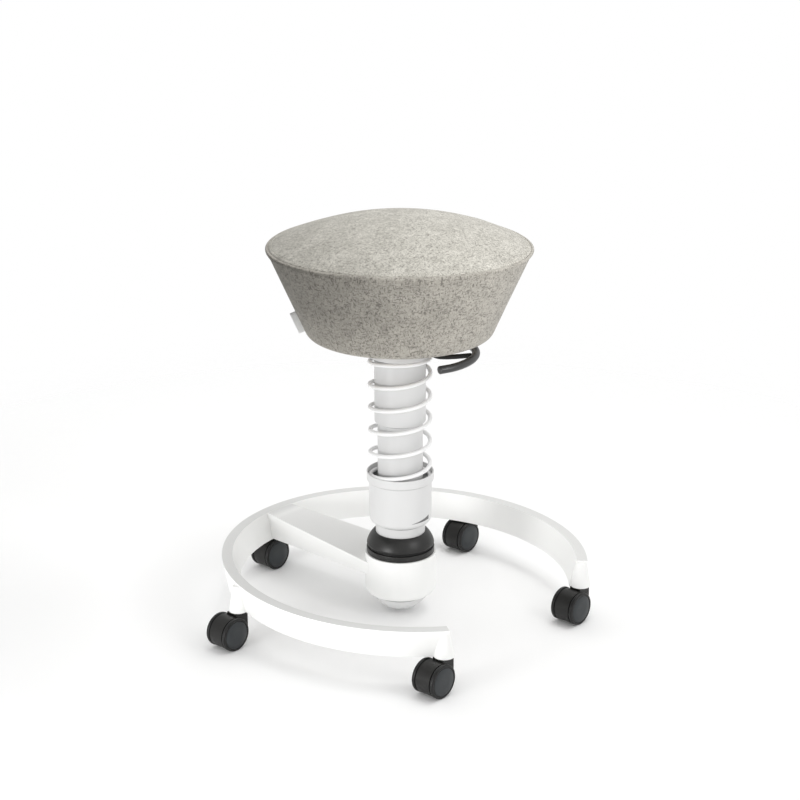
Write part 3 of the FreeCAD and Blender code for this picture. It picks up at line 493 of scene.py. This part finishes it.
EDGE_WIDTHS = {
    "foot_ring": 0.0012,
    "spring_cup": 0.0004,
    "spring_retainer": 0.0004,
    "column_tube": 0.0004,
    "adjuster_knob": 0.0005,
    "seat_bracket": 0.0006,
}
for node_name, width in EDGE_WIDTHS.items():
    edge = NODES[node_name].modifiers.new("edge", "BEVEL")
    edge.width = width
    edge.segments = 3
    edge.limit_method = "ANGLE"
    edge.angle_limit = math.radians(35.0)


# Cushion

SEAT_RIM = 0.195
RIM_HEIGHT = 0.5794
TOP_HEIGHT = 0.6263
CROWN_SPHERE = 0.4288
RECESS_RADIUS = 0.1125
RECESS_TOP = 0.4755
HEM_RADIUS = 0.1190
FOOT_RADIUS = 0.1375
FOOT_HEIGHT = 0.449
FOOT_CORNER = 0.0135
SIDE_TOP = 0.5735
SEAM_RADIUS = 0.1905
SEAM_DEPTH = 0.0011
STITCH_RADIUS = 0.1853
STITCH_DENT = 0.0005
STRIP_LIFT = 0.0003


def crown(radius):
    """Height of the top at a radius: a dome whose padded edge stands up to meet the seam."""

    def dome(reach):
        return TOP_HEIGHT - CROWN_SPHERE + np.sqrt(CROWN_SPHERE**2 - reach**2)

    edge_lift = (SEAM_HEIGHT - dome(SEAM_RADIUS)) * (radius / SEAM_RADIUS) ** 5
    return dome(radius) + edge_lift


def cushion_profile():
    """Half section from the recess under the cushion, round the outside, to the middle of the top."""
    recess = [(RECESS_RADIUS - 0.0002, RECESS_TOP), (RECESS_RADIUS, FOOT_HEIGHT + 0.003, 0.0)]
    hem = [(RECESS_RADIUS + 0.002, FOOT_HEIGHT), (HEM_RADIUS, FOOT_HEIGHT)]
    flank = [(FOOT_RADIUS, FOOT_HEIGHT), (SEAT_RIM + 0.0035, 0.5868)]
    inner = rounded(recess + hem, 0.002, closed=False)[:-1]
    foot = rounded([hem[-1], *flank], FOOT_CORNER, steps=12, closed=False)[:-1]
    side_top = (SEAT_RIM - 0.0024, SIDE_TOP)
    side = [tuple(Vector(foot[-1]).lerp(Vector(side_top), t)) for t in np.linspace(0, 1, 44)[1:]]
    seam = (SEAM_RADIUS, SEAM_HEIGHT)
    rim = curve([side_top, (SEAT_RIM + 0.0024, 0.5815), (SEAM_RADIUS + 0.0040, SEAM_HEIGHT), seam], 19)
    edge_radii = np.linspace(SEAM_RADIUS - 0.0004, 0.165, 48)
    middle_radii = np.linspace(0.163, 0.0004, 60)
    top = [(radius, crown(radius)) for radius in (*edge_radii, *middle_radii)]
    return inner + foot + side + rim + top


def seam_sway(radius, angles, weight):
    """Where a ring near the seam runs at an angle round the cushion: its radius and how far it rises."""
    ahead = np.cos(angles - FRONT_ANGLE)
    beside = np.cos(angles - LEFT_ANGLE)
    swell = SEAM_SWELL * (ahead**2 - beside**2) * weight
    return radius - swell, swell + SEAM_LEAN * beside * weight


def cushion_shift(radius, height, angles):
    """Seam valley, the padded strip beside it, faint slackness of the felt and the upright side seam."""

    def band(distance, width):
        return np.exp(-((distance / width) ** 2))

    on_top = height > SEAM_HEIGHT - 0.0004
    seam = band(radius - SEAM_RADIUS, 0.0009) * on_top
    strip = band(radius - (SEAM_RADIUS + STITCH_RADIUS) / 2, 0.0020) * on_top
    stitches = band(radius - STITCH_RADIUS, 0.0009) * on_top
    on_side = (height > 0.46) & (height < 0.573) & (radius > 0.13)
    slack = 0.0003 * np.sin(7 * angles + 0.6) + 0.0002 * np.sin(17 * angles + 2.1 + height * 40)
    turn = (angles - LEFT_ANGLE + math.pi) % (2 * math.pi) - math.pi
    side_seam = band(turn * 0.17, 0.0011)
    over_side = np.clip((height - SIDE_TOP) / (SEAM_HEIGHT - SIDE_TOP), 0, 1)
    near_rim = np.clip((radius - 0.15) / 0.035, 0, 1)
    swayed, rise = seam_sway(radius, angles, over_side * near_rim)
    return (
        swayed + (slack - SEAM_DEPTH * side_seam) * on_side,
        height - SEAM_DEPTH * seam + STRIP_LIFT * strip - STITCH_DENT * stitches + rise,
    )


def make_cushion():
    """The felt cover over the moulded foam, which fills nearly all of it."""
    cushion = lathe("cushion_cover", cushion_profile(), "felt", 720, closed=False, shift=cushion_shift)
    settle(cushion, "seat", "felt", "seat_cushion")


# Top stitching

STITCH_COUNT = 250
STITCH_HALF_SIZE = (0.00045, 0.00045, 0.0017)
STITCH_SINK = 0.0001


def stitching_group():
    """A node group that lays evenly spaced stitches along a line."""
    group = bpy.data.node_groups.new("stitching", "GeometryNodeTree")
    for name, way, kind in (
        ("Line", "INPUT", "Geometry"),
        ("Count", "INPUT", "Int"),
        ("Half size", "INPUT", "Vector"),
        ("Stitches", "OUTPUT", "Geometry"),
    ):
        group.interface.new_socket(name=name, in_out=way, socket_type=f"NodeSocket{kind}")

    def step(kind, **inputs):
        """A node fed by values or by the outputs of other nodes. Gives its first output."""
        item = group.nodes.new(kind)
        for name, value in inputs.items():
            if isinstance(value, bpy.types.NodeSocket):
                group.links.new(value, item.inputs[name])
            else:
                item.inputs[name].default_value = value
        return item.outputs[0]

    given = group.nodes.new("NodeGroupInput").outputs
    line = step("GeometryNodeMeshToCurve", Mesh=given["Line"])
    points = step("GeometryNodeResampleCurve", Curve=line, Count=given["Count"])
    along = step("FunctionNodeAlignRotationToVector", Vector=step("GeometryNodeInputTangent"))
    along.node.axis = "Z"
    ball = step("GeometryNodeMeshUVSphere", Segments=10, Rings=8, Radius=1.0)
    stitch = step("GeometryNodeTransform", Geometry=ball, Scale=given["Half size"])
    laid = step("GeometryNodeInstanceOnPoints", Points=points, Instance=stitch, Rotation=along)
    real = step("GeometryNodeRealizeInstances", Geometry=laid)
    smooth = step("GeometryNodeSetShadeSmooth", Geometry=real)
    sewn = step("GeometryNodeSetMaterial", Geometry=smooth, Material=MATERIALS["thread"])
    group.links.new(sewn, group.nodes.new("NodeGroupOutput").inputs["Stitches"])
    return group


def make_stitching():
    """Top stitching that runs round the cushion just inside its seam."""
    count = 720
    angles = np.linspace(0, 2 * math.pi, count, endpoint=False)
    radii, rises = seam_sway(STITCH_RADIUS, angles, 1.0)
    heights = crown(STITCH_RADIUS) - STITCH_SINK + rises
    ring = np.stack([radii * np.cos(angles), radii * np.sin(angles), heights], axis=-1)
    line = bpy.data.meshes.new("stitch_line")
    line.from_pydata(ring.tolist(), [(i, (i + 1) % count) for i in range(count)], [])
    carrier = added("stitch_carrier", line)
    group = stitching_group()
    modifier = carrier.modifiers.new("stitching", "NODES")
    modifier.node_group = group
    sizes = {"Count": STITCH_COUNT, "Half size": STITCH_HALF_SIZE}
    for socket in group.interface.items_tree:
        if socket.name in sizes:
            modifier[socket.identifier] = sizes[socket.name]
    evaluated = carrier.evaluated_get(bpy.context.evaluated_depsgraph_get())
    mesh = bpy.data.meshes.new_from_object(evaluated)
    bpy.data.objects.remove(carrier)
    settle(added("top_stitching", mesh), "seat", "felt")


# Coil spring

COIL_RADIUS = 0.0455
WIRE_RADIUS = 0.0032
COIL_FOOT = 0.2209
COIL_TOP = 0.4114
COIL_PITCH = 0.036
# Turns in degrees: where the wire starts to rise, where it stops, and how far it lies flat at either end
RISE_START = 99.0
RISE_STOP = RISE_START + (COIL_TOP - COIL_FOOT) / COIL_PITCH * 360
FLAT_TURN = 285.0
TURN_STEP = 3.0


def coil_height(turn):
    """Height of the wire's centre: flat ends and an even pitch between them."""
    ease = 25.0

    def ramp(value):
        """Nothing before zero and the value itself after it, with a soft change between."""
        return np.where(value < -ease, 0.0, np.where(value > ease, value, (value + ease) ** 2 / (4 * ease)))

    return COIL_FOOT + COIL_PITCH / 360 * (ramp(turn - RISE_START) - ramp(turn - RISE_STOP))


def make_coil():
    """The spring's wire, which the strut squashes between the seat in the cup and the retainer."""
    count = round((RISE_STOP - RISE_START + 2 * FLAT_TURN) / TURN_STEP)
    turns = RISE_START - FLAT_TURN + TURN_STEP * np.arange(count)
    angles = np.radians(turns)
    x = COIL_RADIUS * np.cos(angles)
    y = COIL_RADIUS * np.sin(angles)
    points = np.stack([x, y, coil_height(turns)], axis=-1)
    coil = rod("spring_wire", points, WIRE_RADIUS, "white_spring", 24)
    settle(coil, "column", "white_spring", "coil_spring")
    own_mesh(coil)


# Rubber joint


def make_dome():
    """The rubber dome: a flat foot, a bulging flank and a hollow inside. Nothing here makes it lean with the
    column.
    """
    foot = rounded([(0.0450, 0.1117), (0.0516, 0.1117), (0.0519, 0.1130)], 0.0008, closed=False)
    flank = curve([(0.0519, 0.1130), (0.0509, 0.11947), (0.0445, 0.13168), (0.0389, 0.1323)], 14)
    inside = [(0.03845, 0.1318), (0.03845, 0.1271), (0.0450, 0.1181)]
    dome = lathe("rubber_dome_skin", foot + flank + inside, "black_rubber", 160)
    settle(dome, None, "black_rubber", "rubber_dome")
    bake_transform(dome)


def make_lip():
    """The flat rubber ring between the hub and the dome."""
    profile = rounded(
        [
            (0.0362, 0.0981),
            (0.0520, 0.0981, 0.0006),
            (0.0523, 0.1072, 0.0012),
            (0.0490, 0.1074),
            (0.0490, 0.1084, 0.0),
            (0.0362, 0.1084, 0.0),
        ],
        0.0004,
    )
    lip = lathe("rubber_lip_skin", profile, "black_rubber", 160)
    settle(lip, None, "black_rubber", "rubber_lip")
    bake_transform(lip)


def make_bush():
    """The rubber bush in the hub. It opens downwards, so that the core can lean in it."""
    corners = [(0.0226, 0.0801), (0.0466, 0.0801), (0.0466, 0.0959), (0.0208, 0.0959), (0.0225, 0.0880, 0.0)]
    profile = rounded(corners, 0.0006)
    bush = lathe("rubber_bush_skin", profile, "black_rubber", 96)
    settle(bush, "base", "black_rubber", "rubber_bush")


# Lever. Its lines run through points in its own frame, in millimetres: outwards, to the left and up.

LEVER_TURN = math.radians(-48.0)
GRIP_RADIUS = 0.006
BRACE_RADIUS = 0.0037
GRIP_LINE = (
    (29.5, 41, 450), (40, 40.5, 446.5), (55, 39, 435.5), (72, 35, 427), (92, 25, 425.2), (106, 8, 425),
    (112, -14, 425), (111.5, -36, 425), (105, -59, 425), (93, -79.5, 425), (77, -96, 425), (57, -108, 425),
)
BRACE_LINE = (
    (29.5, -43, 449.5), (37, -43, 443), (45, -43, 431), (55, -42.5, 425), (70, -41, 423.5), (88, -38, 423.5),
    (105, -35, 424),
)


def smooth_path(points, count):
    """A smooth line through the given points."""
    padded = np.vstack([2 * points[0] - points[1], points, 2 * points[-1] - points[-2]])
    spans = len(points) - 1
    result = []
    for span in range(spans):
        before, start, end, after = padded[span : span + 4]
        for t in np.linspace(0, 1, count // spans, endpoint=span == spans - 1):
            linear = (end - before) * t
            square = (2 * before - 5 * start + 4 * end - after) * t**2
            cube = (3 * start - before - 3 * end + after) * t**3
            result.append((2 * start + linear + square + cube) / 2)
    return result


def lever_line(line, count):
    """A lever's line, smoothed and turned from the lever's plane into the part's frame, in metres."""
    out, left, up = np.array(line, float).T / 1000
    x = out * math.cos(LEVER_TURN) - left * math.sin(LEVER_TURN)
    y = out * math.sin(LEVER_TURN) + left * math.cos(LEVER_TURN)
    return smooth_path(np.stack([x, y, up], axis=-1), count)


def make_lever():
    """The thick bent grip and the thin brace between it and the shaft."""
    # The grip takes the lighter copy of the black plastic: painted light.
    grip = rod("lever_grip_rod", lever_line(GRIP_LINE, 110), GRIP_RADIUS, "lever_plastic", 28)
    settle(grip, "lever", "black_plastic", "lever_grip")
    brace = rod("lever_brace_rod", lever_line(BRACE_LINE, 60), BRACE_RADIUS, "black_plastic", 18)
    settle(brace, "lever", "black_plastic", "lever_bar")


# Castor wheels. Their sections list (radius, reach) with reach measured outwards along the axle from the
# castor's middle.

WHEEL_RADIUS = 0.0255
WHEEL_INNER_FACE = 0.0067
BORE_RADIUS = 0.0031
CASTORS = ("back", "left", "front_left", "front_right", "right")


def tyre_profile():
    """Half section of a wheel: bore, tread drum, flange and the flat outer face."""
    corners = [
        (BORE_RADIUS, WHEEL_INNER_FACE),
        (0.0222, WHEEL_INNER_FACE, 0.0006),
        (0.0226, 0.0142, 0.0),
        (0.0250, 0.0142, 0.0010),
        (WHEEL_RADIUS, 0.0160, 0.0008),
        (WHEEL_RADIUS, 0.0196, 0.0022),
        (0.0212, 0.0198, 0.0),
        (0.0211, 0.0193, 0.0),
        (0.0206, 0.0193),
    ]
    return rounded(corners, 0.0005, closed=False)


def plate_profile():
    """Half section of the disc in a wheel's outer face, with a low step round its middle."""
    return [
        (0.0209, 0.0190),
        (0.0209, 0.0196),
        (0.0202, 0.0201),
        (0.0178, 0.0202),
        (0.0170, 0.0206),
        (0.0090, 0.0207),
        (0.0003, 0.0207),
    ]


def turned_on_axle(name, profile, centre, side, material):
    """A piece turned about the castor's axle, with its outer end towards the given side of Y."""
    segments = 96
    vertices = []
    for radius, reach in profile:
        for angle in np.linspace(0, 2 * math.pi, segments, endpoint=False):
            x = radius * math.cos(angle)
            z = -side * radius * math.sin(angle)
            vertices.append(centre + (x, side * reach, z))
    return mesh_object(name, vertices, grid_faces(len(profile), segments), material)


def make_wheel(castor, side_name, side):
    """A castor's wheel on one side of its axle: a tyre, and a plate in its outer face."""
    plain = f"{castor}_castor_{side_name}_wheel"
    body = f"{castor}_{side_name}_wheel"
    corners = np.array([NODES[plain].matrix_world @ Vector(corner) for corner in NODES[plain].bound_box])
    centre = (corners.min(0) + corners.max(0)) / 2
    inner_face = corners[:, 1].min() if side > 0 else corners[:, 1].max()
    centre[1] = inner_face - side * WHEEL_INNER_FACE
    tyre = turned_on_axle(f"{plain}_tyre", tyre_profile(), centre, side, "wheel_plastic")
    settle(tyre, body, "wheel_plastic", plain)
    plate = turned_on_axle(f"{plain}_plate", plate_profile(), centre, side, "wheel_plate")
    settle(plate, body, "wheel_plastic")


# Wedge printed on the spring cup

WEDGE_START = -116.0
WEDGE_SWEEP = 42.0
WEDGE_FOOT = 0.1581
WEDGE_RISE = 0.0006
WEDGE_THIN_END = 0.0004
WEDGE_GROWTH = 0.0062
CUP_FOOT = 0.1478
CUP_HEIGHT = 0.0683
CUP_FOOT_RADIUS = 0.0474
CUP_FLARE = 0.0008
PRINT_THICKNESS = 0.00012


def make_wedge():
    """A slim plain wedge just over the cup's foot that thickens to one side."""
    columns = 24
    vertices = []
    for share in np.linspace(0, 1, columns):
        angle = math.radians(WEDGE_START + WEDGE_SWEEP * share)
        foot = WEDGE_FOOT + WEDGE_RISE * share
        top = foot + WEDGE_THIN_END + WEDGE_GROWTH * share**1.2
        for height in (foot, top):
            radius = CUP_FOOT_RADIUS + CUP_FLARE * (height - CUP_FOOT) / CUP_HEIGHT + PRINT_THICKNESS
            vertices.append((radius * math.cos(angle), radius * math.sin(angle), height))
    faces = [(2 * i, 2 * i + 2, 2 * i + 3, 2 * i + 1) for i in range(columns - 1)]
    settle(mesh_object("cup_wedge", vertices, faces, "grey_print"), "cup", "white_plastic")


# Blank tag sewn into the side seam

TAG_FOOT = 0.4525
TAG_HEIGHT = 0.031
TAG_SEWN_IN = 0.002
TAG_WIDTH = 0.0125
TAG_DROOP = 0.44
TAG_SWAY = 0.0008
TAG_THICKNESS = 0.0006


def make_tag():
    """A small cloth tag that stands out from the cushion's side and hangs down a little."""
    columns = 9
    rows = 12
    outwards = Vector((math.cos(LEFT_ANGLE), math.sin(LEFT_ANGLE), 0.0))
    sideways = Vector((-math.sin(LEFT_ANGLE), math.cos(LEFT_ANGLE), 0.0))
    slope = (SEAT_RIM - FOOT_RADIUS) / (RIM_HEIGHT - FOOT_HEIGHT)
    vertices = []
    for row in range(rows):
        height = TAG_FOOT + TAG_HEIGHT * row / (rows - 1)
        surface = FOOT_RADIUS + slope * (height - FOOT_HEIGHT)
        for column in range(columns):
            out = TAG_WIDTH * column / (columns - 1) - TAG_SEWN_IN
            sway = TAG_SWAY * math.sin(2.2 * column / columns + 1.1 * row / rows)
            up = Vector((0.0, 0.0, height - TAG_DROOP * out))
            vertices.append(outwards * (surface + out) + sideways * sway + up)
    tag = mesh_object("side_tag", vertices, grid_faces(rows, columns, wrap_columns=False), "tag")
    cloth = tag.modifiers.new("thickness", "SOLIDIFY")
    cloth.thickness = TAG_THICKNESS
    settle(tag, "seat", "felt")


make_cushion()
make_stitching()
make_coil()
make_dome()
make_lip()
make_bush()
make_lever()
for castor in CASTORS:
    make_wheel(castor, "left", 1)
    make_wheel(castor, "right", -1)
make_wedge()
make_tag()


# Floor, world and lights

FLOOR_HALF = 6.0
FLOOR_FADE = (0.75, 1.5)
VIEW_ANGLE = math.radians(42.0)


def stage_card(name, corners, color, roughness, shine):
    """A flat card of the stage. Gives the card and the graph of its material."""
    mesh = bpy.data.meshes.new(name)
    mesh.from_pydata([tuple(corner) for corner in corners], [], [(0, 1, 2, 3)])
    card = added(name, mesh)
    graph = Graph(name)
    graph.set(Base_Color=color, Roughness=roughness, Specular_IOR_Level=shine)
    mesh.materials.append(graph.material)
    return card, graph


def make_floor():
    """A pale floor that fades out of sight away from the stool, into the white behind it."""
    half = FLOOR_HALF
    corners = [(-half, -half, 0), (half, -half, 0), (half, half, 0), (-half, half, 0)]
    floor, graph = stage_card("floor", corners, (0.97, 0.97, 0.97), 0.8, 0.2)
    clear = graph.add("ShaderNodeBsdfTransparent")
    length = graph.add("ShaderNodeVectorMath", operation="LENGTH")
    graph.feed(length.inputs[0], graph.place)
    mixed = graph.add("ShaderNodeMixShader")
    graph.feed(mixed.inputs[0], graph.between(Value(graph, length.outputs["Value"]), *FLOOR_FADE))
    graph.tree.links.new(graph.shader.outputs[0], mixed.inputs[1])
    graph.tree.links.new(clear.outputs[0], mixed.inputs[2])
    graph.tree.links.new(mixed.outputs[0], graph.tree.nodes["Material Output"].inputs["Surface"])


def make_world():
    """Soft light that is a little stronger from above, behind a plain white that only the camera sees."""
    world = bpy.data.worlds.new("studio")
    scene.world = world
    world.use_nodes = True
    tree = world.node_tree
    tree.nodes.clear()
    output = tree.nodes.new("ShaderNodeOutputWorld")
    mixed = tree.nodes.new("ShaderNodeMixShader")
    soft = tree.nodes.new("ShaderNodeBackground")
    white = tree.nodes.new("ShaderNodeBackground")
    path = tree.nodes.new("ShaderNodeLightPath")
    place = tree.nodes.new("ShaderNodeTexCoord")
    split = tree.nodes.new("ShaderNodeSeparateXYZ")
    ramp = tree.nodes.new("ShaderNodeMapRange")
    for name, value in (("From Min", -0.2), ("From Max", 1.0), ("To Min", 0.74), ("To Max", 0.90)):
        ramp.inputs[name].default_value = value
    soft.inputs["Color"].default_value = (1.0, 1.0, 0.995, 1.0)
    white.inputs["Color"].default_value = (1.0, 1.0, 1.0, 1.0)
    white.inputs["Strength"].default_value = 1.0
    for source, target in (
        (place.outputs["Generated"], split.inputs[0]),
        (split.outputs["Z"], ramp.inputs["Value"]),
        (ramp.outputs[0], soft.inputs["Strength"]),
        (path.outputs["Is Camera Ray"], mixed.inputs[0]),
        (soft.outputs[0], mixed.inputs[1]),
        (white.outputs[0], mixed.inputs[2]),
        (mixed.outputs[0], output.inputs["Surface"]),
    ):
        tree.links.new(source, target)


def seen_from_camera(right, away, up):
    """A place given as right of, away from and above the column's foot, as the camera sees it."""
    across = Vector((math.sin(VIEW_ANGLE), -math.cos(VIEW_ANGLE), 0.0))
    depth = Vector((math.cos(VIEW_ANGLE), math.sin(VIEW_ANGLE), 0.0))
    return across * right + depth * away + Vector((0.0, 0.0, up))


def area_light(name, place, target_height, size, power, spread):
    """A round lamp turned to a height on the column's axis. Spread is the angle of its beam in degrees."""
    data = bpy.data.lights.new(name, "AREA")
    data.shape = "DISK"
    data.size = size
    data.energy = power
    data.spread = math.radians(spread)
    light = added(name, data)
    light.location = place
    beam = Vector((0.0, 0.0, target_height)) - place
    light.rotation_euler = beam.to_track_quat("-Z", "Y").to_euler()


def shade_card(name, place, width, height):
    """A black card that keeps light off the cushion's near left side, unseen by the camera."""
    up = Vector((0.0, 0.0, 1.0))
    inward = (Vector((0.0, 0.0, place.z)) - place).normalized()
    side = up.cross(inward) * (width / 2)
    rise = up * (height / 2)
    corners = [place - side - rise, place + side - rise, place + side + rise, place - side + rise]
    card, _ = stage_card(name, corners, (0.02, 0.02, 0.02), 1.0, 0.0)
    card.visible_camera = False


make_floor()
make_world()
area_light("key", seen_from_camera(0.9, -0.7, 0.85), target_height=0.56, size=0.4, power=0.75, spread=70.0)
area_light("top", seen_from_camera(0.6, 0.2, 2.6), target_height=0.30, size=1.4, power=16.0, spread=180.0)
area_light("low", seen_from_camera(-1.3, -1.3, 0.30), target_height=0.08, size=0.6, power=3.0, spread=90.0)
shade_card("left_card", seen_from_camera(-0.36, -0.05, 0.60), width=0.50, height=0.34)
shade_card("near_card", seen_from_camera(-0.24, -0.30, 0.56), width=0.30, height=0.22)


# Camera

CAMERA_PLACE = (-2.0277, -1.8257, 1.2843)
CAMERA_DOWN = math.radians(19.04)
CAMERA_ROLL = math.radians(0.18)

camera_data = bpy.data.cameras.new("camera")
camera_data.lens = 86.336
camera_data.sensor_width = 36.0
camera_data.shift_x = 0.0024
camera = added("camera", camera_data)
camera.location = CAMERA_PLACE
camera.rotation_euler = (math.pi / 2 - CAMERA_DOWN, CAMERA_ROLL, VIEW_ANGLE - math.pi / 2)
scene.camera = camera
scene.view_settings.view_transform = "Standard"
